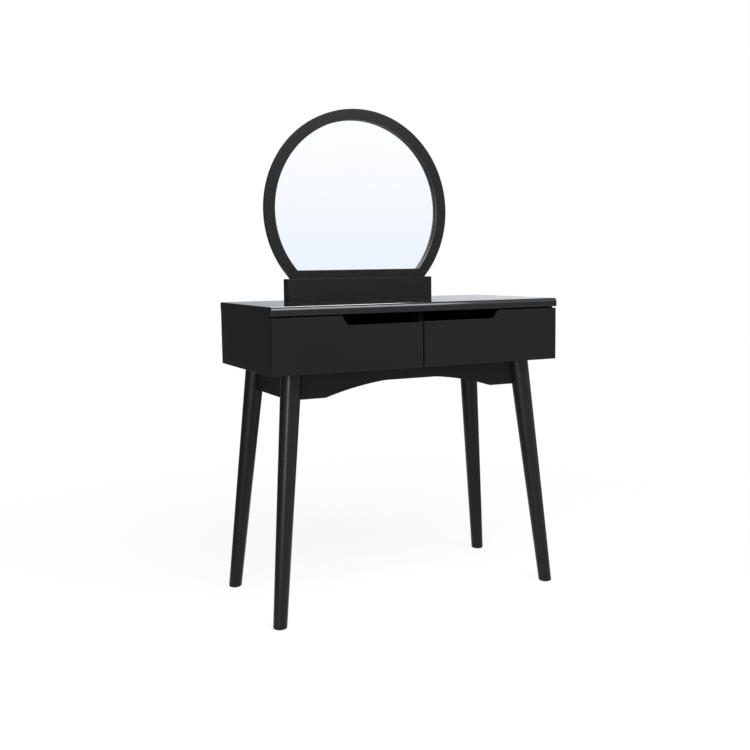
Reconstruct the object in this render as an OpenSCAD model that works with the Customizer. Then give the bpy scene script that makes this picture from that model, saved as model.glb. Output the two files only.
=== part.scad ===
// Vanity table: a two-drawer case on four splayed round legs, with a round mirror that stands
// in a slotted base on the table top.
// Millimetres, +Z up, front towards -Y. The origin is on the floor, at the middle of the table.

/* [Table top] */
// Width of the table top
top_w = 800; // [760:10:900]
// Depth of the table top
top_d = 400; // [400:10:440]
// Thickness of the table top
top_t = 22; // [20:1:28]
// Height of the top face above the floor
top_z = 778; // [740:2:820]
// Radius of the rounded upper front edge
nose_r = 10; // [4:1:14]

/* [Case] */
// Height of the drawer case below the table top
case_h = 141; // [135:1:170]
// Thickness of the case boards
board_t = 15; // [15:1:18]

/* [Drawers] */
// Thickness of a drawer front
front_t = 15; // [15:1:20]
// Gap between the two drawer fronts, and between the fronts and the top
front_gap = 4; // [2:0.5:5]
// Depth of the finger cut-out below the top edge of a front
notch_h = 21.4; // [16:0.2:26]
// Length of the finger cut-out at its floor, from the middle of the table
notch_w = 206; // [120:2:240]
// How far the slanted end of the cut-out leans outwards
notch_lean = 14; // [6:1:24]
// Height of the drawer sides
side_h = 84; // [70:1:88]
// Thickness of the drawer sides and back
side_t = 12; // [12:1:15]
// Length of the drawer sides
side_l = 340; // [300:10:350]
// Thickness of the drawer bottom
bottom_t = 4; // [3:0.5:5]

/* [Runners] */
// Space for a runner on each side of a drawer
runner_gap = 12.5; // [12.5:0.1:13]
// Sheet thickness of the runners
sheet_t = 1.2; // [1:0.1:1.2]
// Radius of the rollers on the case runners
bay_roller_r = 11; // [10.6:0.1:11]
// Radius of the rollers on the drawer runners
drawer_roller_r = 9.85; // [9:0.05:9.85]
// Travel of a drawer
travel = 260; // [220:10:260]

/* [Leg frame] */
// Distance of a foot's centre from the middle, to the side
foot_x = 388; // [360:1:400]
// Distance of a foot's centre from the middle of the leg frame, to the front or back
foot_y = 177.5; // [165:0.5:182]
// Distance of a leg's head from the middle, to the side
head_x = 327; // [320:1:335]
// Distance of a leg's head from the middle of the leg frame, to the front or back
head_y = 132; // [128:1:136]
// Radius of a leg at the floor
foot_r = 17.2; // [15:0.2:20]
// Radius of a leg at its head
head_r = 25.7; // [24:0.1:28]
// Height of the aprons between the legs
apron_h = 67; // [60:1:80]
// Thickness of the aprons
apron_t = 18; // [16:1:20]
// Height of the arch in the front apron
arch_h = 37; // [20:1:45]
// Half of the arch's width at the apron's lower edge
arch_w = 238; // [180:2:250]

/* [Mirror] */
// Outer radius of the mirror frame
ring_r = 277.5; // [250:0.5:290]
// Width of the frame's face
ring_w = 29.5; // [24:0.5:36]
// Thickness of the mirror frame
ring_t = 16; // [15:0.5:18]
// Height of the ring's centre above the table top
ring_z = 244; // [230:1:260]
// Width of the mirror base
base_w = 440; // [420:10:520]
// Height of the mirror base
base_h = 58; // [50:1:64]
// Depth of the mirror base, front to back
base_d = 42; // [42:1:50]
// Depth of the slot in the base
slot_h = 21.5; // [16:0.5:26]

/* [Hidden] */
$fn = 48;

// Finishes
lacquer = "#262626";
inner_board = "#2e2c2a";
hardboard = "#6b4a33";
zinc = "#b4b7ba";
steel = "#8d9093";
nylon = "#e6e4dc";
beech = "#c79f6b";

// Play between a fixing and its hole, on the radius
play = 0.05;
// Play between boards that slide into each other
slip = 0.2;
// A length that carries a cut clear of a face
past = 1;

// Case
edge_x = top_w / 2;
case_z1 = top_z - top_t;
case_z0 = case_z1 - case_h;
front_y = 2 - top_d / 2;
front_y1 = front_y + front_t;
case_y0 = front_y1 + 1.5;
case_y1 = top_d / 2 - 2;
bay_x0 = board_t / 2;
bay_x1 = edge_x - board_t;
bay_z0 = case_z0 + board_t;
back_y0 = case_y1 - board_t;
bottom_mid_z = case_z0 + board_t / 2;

// Case fixings
dowel_r = 4;
dowel_y = 120;
cam_r = 7.5;
cam_d = 12.5;
cam_inset = 34;
cam_low_y = 150;
cam_high_y = 160;
bolt_reach = 8;

// Drawer
front_x1 = edge_x - 1;
front_z0 = case_z0 + 1.5;
front_z1 = case_z1 - front_gap;
notch_z = front_z1 - notch_h;
notch_r = 5;
box_x0 = bay_x0 + runner_gap;
box_x1 = bay_x1 - runner_gap;
side_z0 = bay_z0 + 11;
side_z1 = side_z0 + side_h;
side_y1 = front_y1 + side_l;
groove_d = 5;
groove_z = side_z0 + 10;
small_dowel_r = 3;
front_dowel_z = [side_z0 + 29, side_z1 - 15];
back_screw_z = [side_z0 + 31, side_z1 - 20];

// Runners, drawn from the wall outwards: u = 0 on the wall, u = runner_gap on the drawer
rail_z = bay_z0 + 8;
rail_y0 = case_y0 + 1.5;
rail_y1 = rail_y0 + 350;
rail_u = 9.8;
rail_h = 20;
lip_h = 2;
axle_z = rail_z + drawer_roller_r + play;
bay_axle_y = rail_y0 + 15;
bay_axle_z = rail_z + 12.4;
drawer_axle_y = side_y1 - 7;
stud_r = 2.5;
stud_head_r = 4;
tray_z = bay_axle_z + bay_roller_r + play;
web_u = runner_gap - sheet_t;
stop_y = drawer_axle_y - travel - drawer_roller_r - 1.5;
rail_screw_y = [rail_y0 + 80, rail_y0 + 280];
tray_screw_y = [front_y1 + 43, front_y1 + 243];

// Leg frame, drawn for the back right corner about the frame's own middle
frame_y = 5;
glide_h = 2;
apron_z = case_z0 - apron_h;
apron_x = 335;
apron_y = 135;
arch_r = (arch_w * arch_w + arch_h * arch_h) / (2 * arch_h);
block_h = 35;
block_a = 66;
block_b = 53;
block_x = apron_x - apron_t;
block_y = apron_y - apron_t;
block_n = [block_b, block_a] / norm([block_a, block_b]);
hanger_z = case_z0 - 18;
hanger_r = 4;
hanger_l = 80;
leg_lean = [head_x - foot_x, head_y - foot_y, case_z0];
leg_at_bolt = [foot_x, foot_y] + hanger_z / case_z0 * [leg_lean.x, leg_lean.y];
block_face = (leg_at_bolt - [block_x - block_a, block_y]) * block_n;
block_screw_at = [[block_x - 42, block_y - 8], [block_x - 7, block_y - 35]];

// Mirror
base_y1 = top_d / 2;
base_y0 = base_y1 - base_d;
slot_y0 = base_y0 + 20;
slot_y1 = slot_y0 + 8.2;
base_z1 = top_z + base_h;
slot_z = base_z1 - slot_h;
ring_cz = top_z + ring_z;
ring_y0 = (slot_y0 + slot_y1 - ring_t) / 2;
ring_y1 = ring_y0 + ring_t;
tongue_y0 = slot_y0 + 0.2;
tongue_y1 = slot_y1 - 0.2;
opening_z = base_z1 + 23;
lip_t = ring_t - 5;
rebate = 8;
glass_y0 = ring_y0 + lip_t;
glass_t = 3;
clip_r = ring_r - ring_w + rebate + 6;
clip_angles = [-20, 20, 60, 100, 140, 180, 220];
base_screw_x = [-180, -60, 60, 180];
mirror_screw_x = [-140, 0, 140];

// ---- Helpers ----

// A board between two opposite corners
module board(lo, hi) {
    translate(lo) cube(hi - lo);
}

// Children drawn along +Z, turned to point along d from p
module aim(p, d) {
    translate(p) rotate([0, acos(d.z / norm(d)), atan2(d.y, d.x)]) children();
}

// Children drawn for the right-hand side, flipped for the left
module handed(s) {
    mirror([s < 0 ? 1 : 0, 0, 0]) children();
}

// Children drawn for the back right corner of the leg frame, flipped for the others
module at_corner(sx, sy) {
    translate([0, frame_y, 0])
        mirror([sx < 0 ? 1 : 0, 0, 0])
        mirror([0, sy < 0 ? 1 : 0, 0])
        children();
}

// Children for all four corners
module all_corners() {
    for (sx = [-1, 1], sy = [-1, 1])
        at_corner(sx, sy) children();
}

// Countersunk screw: its head is flush at z = 0, and its point is at z = len
module screw(len, r, head, g = 0) {
    rotate_extrude($fn = 24)
        polygon([[0, -g], [head + g, -g], [r + g, head - r + g], [r + g, len - 2 * r], [0, len + g]]);
}

// Pan head screw: its head stands on z = 0 and its shank runs to z = len
module pan_screw(len, r, head, head_h, g = 0) {
    translate([0, 0, -head_h]) cylinder(h = head_h, r = head, $fn = 24);
    cylinder(h = len, r = r + g, $fn = 24);
}

// Round pin of the given length, centred on p and pointing along d
module pin(p, d, before, after, r) {
    aim(p - before * d, d) cylinder(h = before + after, r = r, $fn = 24);
}

// A section in x and z, drawn along Y from y0 to y1
module rail(points, y0, y1) {
    translate([0, y1, 0]) rotate([90, 0, 0]) linear_extrude(y1 - y0) polygon(points);
}

// Points on an arc about c, from angle a0 to a1
function arc(c, r, a0, a1, n = 8) =
    [for (i = [0:n]) let (a = a0 + (a1 - a0) * i / n) c + r * [cos(a), sin(a)]];

// ---- Case fixings ----

// Dowels that line the boards up
module case_dowel_set(g = 0) {
    r = dowel_r + g;
    for (s = [-1, 1]) {
        for (y = [-100, 100])
            pin([s * bay_x1, y, bottom_mid_z], [s, 0, 0], 20 + g, 9 + g, r);
        for (z = [case_z0 + 35, case_z1 - 36])
            pin([s * bay_x1, back_y0 + board_t / 2, z], [s, 0, 0], 20 + g, 9 + g, r);
    }
    for (x = [-edge_x + board_t / 2, 0, edge_x - board_t / 2], y = [-dowel_y, dowel_y])
        pin([x, y, case_z1], [0, 0, 1], 18 + g, 12 + g, r);
    for (y = [-dowel_y, dowel_y])
        pin([0, y, bay_z0], [0, 0, 1], 10 + g, 18 + g, r);
}

// Cam discs: in the underside of the bottom, and in the inner faces of the side panels
module cam_lock_set(g = 0) {
    for (s = [-1, 1], k = [-1, 1]) {
        aim([s * (bay_x1 - cam_inset), k * cam_low_y, case_z0 - g], [0, 0, 1])
            cylinder(h = cam_d + 2 * g, r = cam_r + g);
        aim([s * (bay_x1 - g), k * cam_high_y, case_z1 - cam_inset], [s, 0, 0])
            cylinder(h = cam_d + 2 * g, r = cam_r + g);
    }
}

// Bolts that the cams draw tight
module cam_bolt_set(g = 0) {
    reach = cam_inset - cam_r - 0.2;
    for (s = [-1, 1], k = [-1, 1]) {
        pin([s * bay_x1, k * cam_low_y, bottom_mid_z], [s, 0, 0], reach, bolt_reach + g, 3 + g);
        pin([s * (bay_x1 + board_t / 2), k * cam_high_y, case_z1], [0, 0, 1], reach, 11 + g, 3 + g);
    }
}

// Everything that is bored into the case boards
module case_bores() {
    case_dowel_set(play);
    cam_lock_set(play);
    cam_bolt_set(play);
}

// ---- Case ----

module table_top() {
    z0 = case_z1;
    y0 = -top_d / 2;
    color(lacquer) difference() {
        union() {
            board([-edge_x, y0 + nose_r, z0], [edge_x, top_d / 2, top_z]);
            board([-edge_x, y0, z0], [edge_x, y0 + nose_r, top_z - nose_r]);
            translate([-edge_x, y0 + nose_r, top_z - nose_r])
                rotate([0, 90, 0]) cylinder(h = top_w, r = nose_r, $fn = 96);
        }
        case_bores();
        base_screw_set(play);
    }
}

module side_panel(s) {
    color(lacquer) difference() {
        handed(s) board([bay_x1, case_y0, case_z0], [edge_x, case_y1, case_z1]);
        case_bores();
        bay_runner_screw_set(play);
    }
}

module centre_divider() {
    color(inner_board) difference() {
        board([-bay_x0, case_y0, bay_z0], [bay_x0, back_y0, case_z1]);
        case_bores();
        bay_runner_screw_set(play);
    }
}

module bottom_panel() {
    color(lacquer) difference() {
        board([-bay_x1, case_y0, case_z0], [bay_x1, back_y0, bay_z0]);
        case_bores();
        block_screw_set(play);
    }
}

module back_panel() {
    color(lacquer) difference() {
        board([-bay_x1, back_y0, case_z0], [bay_x1, case_y1, case_z1]);
        case_bores();
    }
}

// ---- Leg frame ----

// A leg's full cone, from below the floor to above the case bottom. The quarter turn about its own
// axis keeps the cone's seam clear of the aprons and of the corner block
module leg_cone(g = 0) {
    reach = 20;
    slope = (head_r - foot_r) / norm(leg_lean);
    dir = leg_lean / norm(leg_lean);
    aim([foot_x, foot_y, 0] - reach * dir, leg_lean)
        rotate([0, 0, 90])
        cylinder(
            h = norm(leg_lean) + 2 * reach,
            r1 = foot_r - slope * reach + g,
            r2 = head_r + slope * reach + g,
            $fn = 96
        );
}

// Hanger bolt of one corner, from inside the leg through the block
module hanger(r, before, after) {
    aim(
        [leg_at_bolt.x + before * block_n.x, leg_at_bolt.y + before * block_n.y, hanger_z],
        [-block_n.x, -block_n.y, 0]
    )
        cylinder(h = before + after, r = r, $fn = 32);
}

// Nail of the glide under one foot
module glide_nail(g = 0) {
    translate([foot_x, foot_y, glide_h - play]) cylinder(h = 12 + g, r = 1.5 + g, $fn = 24);
}

module leg(sx, sy) {
    color(lacquer) at_corner(sx, sy) difference() {
        intersection() {
            leg_cone();
            board([0, 0, glide_h], [edge_x + 40, top_d, case_z0]);
        }
        hanger(hanger_r + play, 6 + play, 40);
        glide_nail(play);
    }
}

// The legs' outline, as the aprons are coped to it
module leg_cope() {
    all_corners() leg_cone(0.1);
}

module front_apron() {
    color(lacquer) difference() {
        board(
            [-block_x - 3, frame_y - apron_y, apron_z],
            [block_x + 3, frame_y - block_y, case_z0]
        );
        leg_cope();
        translate([0, 0, apron_z + arch_h - arch_r])
            rotate([90, 0, 0]) cylinder(h = top_d, r = arch_r, $fn = 720);
    }
}

module back_apron() {
    color(lacquer) difference() {
        board(
            [-block_x - 3, frame_y + block_y, apron_z],
            [block_x + 3, frame_y + apron_y, case_z0]
        );
        leg_cope();
    }
}

module side_apron(s) {
    color(lacquer) difference() {
        handed(s) board(
            [block_x, frame_y - apron_y + 10, apron_z],
            [apron_x, frame_y + apron_y - 10, case_z0]
        );
        leg_cope();
    }
}

// Screws that hold the blocks up to the case bottom
module block_screw_set(g = 0) {
    all_corners()
        for (p = block_screw_at)
            aim([p.x, p.y, case_z0 - block_h], [0, 0, 1]) screw(45, 2.25, 4.5, g);
}

module corner_blocks() {
    color(beech) difference() {
        all_corners() difference() {
            translate([0, 0, case_z0 - block_h])
                linear_extrude(block_h)
                polygon([[block_x - block_a, block_y], [block_x, block_y], [block_x, block_y - block_b]]);
            leg_cone(0.1);
            hanger(hanger_r + 0.5, 10, 90);
        }
        block_screw_set(play);
    }
}

module hanger_bolts() {
    color(zinc) all_corners() hanger(hanger_r, 6, hanger_l - 6);
}

module flange_nuts() {
    color(zinc) all_corners()
        aim(
            [
                leg_at_bolt.x - block_face * block_n.x,
                leg_at_bolt.y - block_face * block_n.y,
                hanger_z
            ],
            [-block_n.x, -block_n.y, 0]
        )
        difference() {
            union() {
                cylinder(h = 1.6, r = 8.5);
                cylinder(h = 8, r = 7.5, $fn = 6);
            }
            translate([0, 0, -past]) cylinder(h = 10, r = hanger_r + play, $fn = 32);
        }
}

module block_screws() {
    color(zinc) block_screw_set();
}

module foot_glides() {
    color(nylon) all_corners() union() {
        translate([foot_x, foot_y, 0]) cylinder(h = glide_h, r = 12);
        glide_nail();
    }
}

// ---- Mirror ----

// A disc that faces front, between two depths and above a level
module cut_disc(r, y0, y1, z0) {
    intersection() {
        translate([0, y1, ring_cz]) rotate([90, 0, 0]) cylinder(h = y1 - y0, r = r, $fn = 360);
        board([-edge_x, y0 - past, z0], [edge_x, y1 + past, ring_cz + 2 * r]);
    }
}

// Screws through the base's back board into the frame's tongue
module mirror_screw_set(g = 0) {
    for (x = mirror_screw_x)
        aim([x, base_y1, base_z1 - slot_h / 2], [0, -1, 0]) screw(19, 1.75, 3.5, g);
}

// Screws up through the table top into the base's front board
module base_screw_set(g = 0) {
    for (x = base_screw_x)
        aim([x, base_y0 + 10, case_z1], [0, 0, 1]) screw(45, 2.25, 4.5, g);
}

// Screws of the clips on the back of the frame
module clip_screw_set(g = 0) {
    for (a = clip_angles)
        aim([clip_r * cos(a), ring_y1 + 1, ring_cz + clip_r * sin(a)], [0, -1, 0])
            screw(9, 1.5, 2.6, g);
}

module mirror_frame() {
    open_r = ring_r - ring_w;
    color(lacquer) difference() {
        union() {
            cut_disc(ring_r, ring_y0, ring_y1, base_z1);
            cut_disc(ring_r, tongue_y0, tongue_y1, slot_z + 0.5);
        }
        cut_disc(open_r, ring_y0 - past, ring_y1 + past, opening_z);
        cut_disc(open_r + rebate, glass_y0, ring_y1 + past, opening_z - rebate);
        mirror_screw_set(play);
        clip_screw_set(play);
    }
}

module mirror_glass() {
    r = ring_r - ring_w + rebate - 0.5;
    color("#dfe8ee") cut_disc(r, glass_y0, glass_y0 + glass_t, opening_z - rebate + 0.5);
}

module mirror_backing() {
    r = ring_r - ring_w + rebate - 0.5;
    color(hardboard) cut_disc(r, glass_y0 + glass_t, ring_y1, opening_z - rebate + 0.5);
}

module backing_clips() {
    color(zinc) difference() {
        for (a = clip_angles)
            translate([0, ring_y1 + 1, ring_cz]) rotate([90, -a, 0])
                linear_extrude(1) union() {
                    translate([clip_r, 0]) circle(r = 6);
                    translate([clip_r - 14, -6]) square([14, 12]);
                }
        clip_screw_set(play);
    }
}

module clip_screws() {
    color(zinc) clip_screw_set();
}

module base_front_board() {
    color(lacquer) difference() {
        board([-base_w / 2, base_y0, top_z], [base_w / 2, slot_y0, base_z1]);
        base_screw_set(play);
    }
}

module base_back_board() {
    color(lacquer) difference() {
        board([-base_w / 2, slot_y1, top_z], [base_w / 2, base_y1, base_z1]);
        mirror_screw_set(play);
    }
}

module base_spacer() {
    color(lacquer) board([-base_w / 2, slot_y0, top_z], [base_w / 2, slot_y1, slot_z]);
}

module base_screws() {
    color(zinc) base_screw_set();
}

module mirror_screws() {
    color(zinc) mirror_screw_set();
}

// ---- Runners ----

// Children drawn from a wall, once on each wall of the right-hand drawer bay
module on_walls() {
    translate([bay_x0, 0, 0]) children();
    translate([bay_x1, 0, 0]) mirror([1, 0, 0]) children();
}

// Screws from one case runner into its wall
module rail_screws(g = 0) {
    for (y = rail_screw_y)
        aim([sheet_t, y, axle_z], [-1, 0, 0]) pan_screw(8, 1.75, 3.2, 1.2, g);
}

module bay_runner_screw_set(g = 0) {
    for (s = [-1, 1])
        handed(s) on_walls() rail_screws(g);
}

// Case runner: a channel with lips, the stud of its front roller and a stop for the drawer's
module bay_runner() {
    t = sheet_t;
    top = rail_z + rail_h;
    difference() {
        union() {
            rail([
                [0, rail_z - t], [rail_u, rail_z - t], [rail_u, rail_z + lip_h],
                [rail_u - t, rail_z + lip_h], [rail_u - t, rail_z], [t, rail_z],
                [t, top], [rail_u - t, top], [rail_u - t, top - lip_h],
                [rail_u, top - lip_h], [rail_u, top + t], [0, top + t]
            ], rail_y0, rail_y1);
            board([t / 2, stop_y - 8, top - 6], [rail_u - t, stop_y, top + t / 2]);
        }
        board(
            [t, rail_y0 - past, rail_z + lip_h + past],
            [rail_u + past, bay_axle_y + bay_roller_r + 3, top + 2 * t]
        );
        rail_screws(play);
    }
    aim([t / 2, bay_axle_y, bay_axle_z], [1, 0, 0]) cylinder(h = 8.4 - t / 2, r = stud_r);
    aim([8.9, bay_axle_y, bay_axle_z], [1, 0, 0]) cylinder(h = 0.8, r = stud_head_r);
    aim([8.3, bay_axle_y, bay_axle_z], [1, 0, 0]) cylinder(h = 0.8, r = stud_r);
}

module bay_runners(s) {
    color(steel) handed(s) on_walls() bay_runner();
}

module bay_runner_screws() {
    color(zinc) bay_runner_screw_set();
}

// Roller that turns on a stud along X, with its near face at x
module roller(x, y, z, r, w) {
    aim([x, y, z], [1, 0, 0]) difference() {
        union() {
            cylinder(h = w, r = r - 0.6);
            translate([0, 0, 0.6]) cylinder(h = w - 1.2, r = r);
        }
        translate([0, 0, -past]) cylinder(h = w + 2 * past, r = stud_r + play);
    }
}

module bay_rollers(s) {
    color(nylon) handed(s) on_walls() roller(2.2, bay_axle_y, bay_axle_z, bay_roller_r, 6.4);
}

// Screws from one drawer runner into the drawer's side
module tray_screws(g = 0) {
    for (y = tray_screw_y)
        aim([web_u, y, axle_z], [1, 0, 0]) pan_screw(11, 1.75, 3.2, 1.2, g);
}

// Drawer runner: a web on the drawer's side, a foot under it and a flange over the case roller
module drawer_runner() {
    t = sheet_t;
    y0 = front_y1 + 1;
    difference() {
        rail([
            [web_u, side_z0 - t], [runner_gap + 10, side_z0 - t], [runner_gap + 10, side_z0],
            [runner_gap, side_z0], [runner_gap, tray_z + t], [2.6, tray_z + t],
            [2.6, tray_z], [web_u, tray_z]
        ], y0, side_y1 + 5);
        tray_screws(play);
    }
    aim([web_u + t / 2, drawer_axle_y, axle_z], [-1, 0, 0])
        cylinder(h = web_u + t / 2 - 2.9, r = stud_r);
    aim([3.4, drawer_axle_y, axle_z], [-1, 0, 0]) cylinder(h = 0.5, r = stud_head_r);
}

module drawer_runner_at(s, outer) {
    color(steel) handed(s)
        translate([outer ? bay_x1 : bay_x0, 0, 0])
        mirror([outer ? 1 : 0, 0, 0])
        drawer_runner();
}

module drawer_rollers(s) {
    color(nylon) handed(s) on_walls()
        roller(3.6, drawer_axle_y, axle_z, drawer_roller_r, 4.6);
}

module drawer_runner_screws(s) {
    color(zinc) handed(s) on_walls() tray_screws();
}

// ---- Drawers, drawn for the right-hand one ----

// Outline of the finger cut-out, with both of its corners eased
module notch_outline() {
    lean = atan2(notch_h, notch_lean);
    t = notch_r * tan(lean / 2);
    polygon(concat(
        [[0, front_z1 + past], [0, notch_z]],
        arc([notch_w - t, notch_z + notch_r], notch_r, -90, lean - 90),
        arc([notch_w + notch_lean + t, front_z1 - notch_r], notch_r, lean + 90, 90),
        [[notch_w + notch_lean + t, front_z1 + past]]
    ));
}

// Dowels between the front and the sides
module front_dowels(g = 0) {
    for (x = [box_x0 + side_t / 2, box_x1 - side_t / 2], z = front_dowel_z)
        pin([x, front_y1, z], [0, 1, 0], 9 + g, 18 + g, small_dowel_r + g);
}

// Screws through the sides into the back
module back_screws(g = 0) {
    for (z = back_screw_z) {
        aim([box_x0, side_y1 - side_t / 2, z], [1, 0, 0]) screw(30, 1.75, 3.5, g);
        aim([box_x1, side_y1 - side_t / 2, z], [-1, 0, 0]) screw(30, 1.75, 3.5, g);
    }
}

// The drawer bottom, grown by g for the grooves that hold it
module bottom_board(g = 0) {
    reach = side_t - groove_d;
    board(
        [box_x0 + reach - g, front_y1 - groove_d - g, groove_z - g / 2],
        [box_x1 - reach + g, side_y1 + g, groove_z + bottom_t + g / 2]
    );
}

module drawer_front(s) {
    color(lacquer) handed(s) difference() {
        board([front_gap / 2, front_y, front_z0], [front_x1, front_y1, front_z1]);
        translate([0, front_y1 + past, 0])
            rotate([90, 0, 0]) linear_extrude(front_t + 2 * past) notch_outline();
        front_dowels(play);
        bottom_board(slip);
    }
}

module drawer_side(s, outer) {
    x0 = outer ? box_x1 - side_t : box_x0;
    color(inner_board) handed(s) difference() {
        board([x0, front_y1, side_z0], [x0 + side_t, side_y1, side_z1]);
        front_dowels(play);
        back_screws(play);
        bottom_board(slip);
        on_walls() tray_screws(play);
    }
}

module drawer_back(s) {
    color(inner_board) handed(s) difference() {
        board(
            [box_x0 + side_t, side_y1 - side_t, groove_z + bottom_t + slip],
            [box_x1 - side_t, side_y1, side_z1 - 5]
        );
        back_screws(play);
    }
}

module drawer_bottom(s) {
    color(inner_board) handed(s) bottom_board();
}

module drawer_dowels(s) {
    color(beech) handed(s) front_dowels();
}

module drawer_screws(s) {
    color(zinc) handed(s) back_screws();
}

table_top();
side_panel(-1);  // left_side_panel
side_panel(1);  // right_side_panel
centre_divider();
bottom_panel();
back_panel();
color(beech) case_dowel_set();  // case_dowels
color(zinc) cam_lock_set();  // cam_locks
color(zinc) cam_bolt_set();  // cam_bolts
front_apron();
back_apron();
side_apron(-1);  // left_apron
side_apron(1);  // right_apron
leg(-1, -1);  // front_left_leg
leg(1, -1);  // front_right_leg
leg(-1, 1);  // back_left_leg
leg(1, 1);  // back_right_leg
corner_blocks();
hanger_bolts();
flange_nuts();
block_screws();
foot_glides();
mirror_frame();
mirror_glass();
mirror_backing();
backing_clips();
clip_screws();
base_front_board();
base_back_board();
base_spacer();
base_screws();
mirror_screws();
bay_runners(-1);  // left_bay_runners
bay_runners(1);  // right_bay_runners
bay_runner_screws();
bay_rollers(-1);  // left_bay_rollers
bay_rollers(1);  // right_bay_rollers
drawer_front(-1);  // left_drawer_front
drawer_side(-1, true);  // left_drawer_outer_side
drawer_side(-1, false);  // left_drawer_inner_side
drawer_back(-1);  // left_drawer_back
drawer_bottom(-1);  // left_drawer_bottom
drawer_runner_at(-1, true);  // left_drawer_outer_runner
drawer_runner_at(-1, false);  // left_drawer_inner_runner
drawer_rollers(-1);  // left_drawer_rollers
drawer_dowels(-1);  // left_drawer_dowels
drawer_screws(-1);  // left_drawer_screws
drawer_runner_screws(-1);  // left_drawer_runner_screws
drawer_front(1);  // right_drawer_front
drawer_side(1, true);  // right_drawer_outer_side
drawer_side(1, false);  // right_drawer_inner_side
drawer_back(1);  // right_drawer_back
drawer_bottom(1);  // right_drawer_bottom
drawer_runner_at(1, true);  // right_drawer_outer_runner
drawer_runner_at(1, false);  // right_drawer_inner_runner
drawer_rollers(1);  // right_drawer_rollers
drawer_dowels(1);  // right_drawer_dowels
drawer_screws(1);  // right_drawer_screws
drawer_runner_screws(1);  // right_drawer_runner_screws
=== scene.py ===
"""Vanity table with a round mirror: the finished look of the part, built on its CAD frame.

Every size is in metres in the CAD frame: X runs across the table, Y from front to back, Z up.
"""

import logging
import math
from dataclasses import dataclass, field
from enum import Enum
from typing import Optional, Sequence, Union

import bmesh
import bpy
from mathutils import Matrix, Vector


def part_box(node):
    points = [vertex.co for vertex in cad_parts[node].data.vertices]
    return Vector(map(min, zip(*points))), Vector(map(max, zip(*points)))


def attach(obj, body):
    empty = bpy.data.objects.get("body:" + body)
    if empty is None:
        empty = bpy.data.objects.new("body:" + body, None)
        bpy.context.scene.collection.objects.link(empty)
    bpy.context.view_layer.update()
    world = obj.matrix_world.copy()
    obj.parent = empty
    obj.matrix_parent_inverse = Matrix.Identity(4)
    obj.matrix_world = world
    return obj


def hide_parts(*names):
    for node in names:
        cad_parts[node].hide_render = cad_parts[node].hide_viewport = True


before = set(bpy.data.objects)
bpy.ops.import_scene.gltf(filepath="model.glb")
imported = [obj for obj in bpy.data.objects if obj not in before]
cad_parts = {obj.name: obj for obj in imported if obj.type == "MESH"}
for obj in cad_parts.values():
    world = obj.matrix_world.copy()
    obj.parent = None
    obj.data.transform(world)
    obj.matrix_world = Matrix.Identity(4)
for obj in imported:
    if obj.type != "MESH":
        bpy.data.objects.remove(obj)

LOG = logging.getLogger("vanity_table")
MM = 0.001
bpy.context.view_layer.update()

Colour = tuple[float, float, float, float]
Ring = list[Vector]
InputValue = Union[float, tuple, bpy.types.Node, bpy.types.NodeSocket]


class Axis(Enum):
    """The direction in which a flat outline is given its thickness."""

    X = 0
    Y = 1
    Z = 2

    def place(self, u: float, v: float, t: float) -> Vector:
        """Turn outline coordinates and a depth into a point.

        Args:
            u: First coordinate in the outline's plane.
            v: Second coordinate in the outline's plane.
            t: Depth along this axis.

        Returns:
            The point in the CAD frame.
        """
        if self is Axis.X:
            return Vector((t, u, v))
        if self is Axis.Y:
            return Vector((u, t, v))
        return Vector((u, v, t))


class Side(Enum):
    """Which drawer bay a piece belongs to, seen from the front."""

    LEFT = -1
    RIGHT = 1

    @property
    def word(self) -> str:
        """The side's name as CAD nodes spell it."""
        return self.name.lower()


# --------------------------------------------------------------------------- shader helpers


def linear(code: str) -> Colour:
    """Turn an sRGB hex colour into linear light.

    Args:
        code: Colour such as "#1a1b1d".

    Returns:
        Linear red, green, blue and an alpha of one.
    """
    parts = [int(code[i : i + 2], 16) / 255.0 for i in (1, 3, 5)]
    light = [p / 12.92 if p <= 0.04045 else ((p + 0.055) / 1.055) ** 2.4 for p in parts]
    return (light[0], light[1], light[2], 1.0)


def add_node(
    tree: bpy.types.NodeTree,
    kind: str,
    inputs: Optional[dict[Union[str, int], InputValue]] = None,
    **settings: object,
) -> bpy.types.Node:
    """Add a shader node with its settings and links.

    Args:
        tree: Node tree that gets the node.
        kind: Blender's name of the node type.
        inputs: Input socket name or number, with a constant, a node or an output socket.
        settings: Properties of the node itself.

    Returns:
        The new node.
    """
    node = tree.nodes.new(kind)
    for name, value in settings.items():
        setattr(node, name, value)
    for socket, value in (inputs or {}).items():
        if isinstance(value, bpy.types.Node):
            value = value.outputs[0]
        if isinstance(value, bpy.types.NodeSocket):
            tree.links.new(value, node.inputs[socket])
        else:
            node.inputs[socket].default_value = value
    return node


def scale_for(size_mm: float) -> float:
    """Texture scale at which one feature of a noise is as wide as a size in millimetres."""
    return 1.0 / (size_mm * MM)


# --------------------------------------------------------------------------- finishes


@dataclass(frozen=True)
class Finish:
    """A surface finish; each kind fills a node tree with what the real one shows."""

    name: str

    def surface(self, tree: bpy.types.NodeTree) -> bpy.types.Node:
        """Build the shader.

        Args:
            tree: Material's node tree.

        Returns:
            The node whose first output is the surface.
        """
        raise NotImplementedError

    def material(self) -> bpy.types.Material:
        """Make the material, or find it where it was made before.

        Returns:
            The finished material.
        """
        made = bpy.data.materials.get(self.name)
        if made is None:
            made = bpy.data.materials.new(self.name)
            made.use_nodes = True
            tree = made.node_tree
            tree.nodes.clear()
            add_node(tree, "ShaderNodeOutputMaterial", {"Surface": self.surface(tree)})
        return made


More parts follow.
